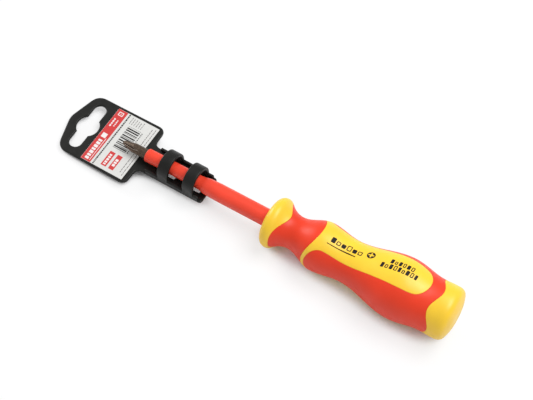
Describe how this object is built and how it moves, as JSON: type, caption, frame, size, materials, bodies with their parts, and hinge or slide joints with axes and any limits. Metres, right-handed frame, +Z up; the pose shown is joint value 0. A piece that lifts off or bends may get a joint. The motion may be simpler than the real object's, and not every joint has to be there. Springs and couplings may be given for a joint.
{
  "type": "insulated screwdriver",
  "caption": "Insulated cross-point screwdriver with a waisted red and yellow handle, held in the loops of a flat black shop hanger.",
  "frame": {"origin": "middle of the footprint, at the height of the handle's lowest point", "axes": "+X along the tool from the tip to the butt, +Y across it, +Z up from the hanger's back towards its loops"},
  "size_m": [0.2564, 0.0428, 0.0362],
  "materials": {
    "blackened_steel": "dark brown-black phosphated tool steel, ground bright along the edges of the point",
    "sleeve_red": "satin moulded insulation",
    "core_plastic": "hard moulded core, hidden",
    "grip_red": "satin two-shot moulding with a fine grain",
    "grip_yellow": "satin two-shot moulding with a fine grain",
    "hanger_black": "soft-sheen injection moulding",
    "label_paper": "coated printed paper"
  },
  "bodies": {
    "driver": {"blade": "blackened_steel", "blade_insulation": "sleeve_red", "handle_core": "core_plastic", "front_guard": "grip_yellow", "front_grip": "grip_red", "panel_band": "grip_yellow", "rear_grip": "grip_red", "butt_cap": "grip_yellow"},
    "hanger_card": {"hanger": "hanger_black", "label": "label_paper"}
  },
  "joints": [
    {"name": "hanger_slide", "type": "slide", "parent": "driver", "child": "hanger_card", "axis": [-1, 0, 0], "range_m": [0, 0.06]}
  ]
}
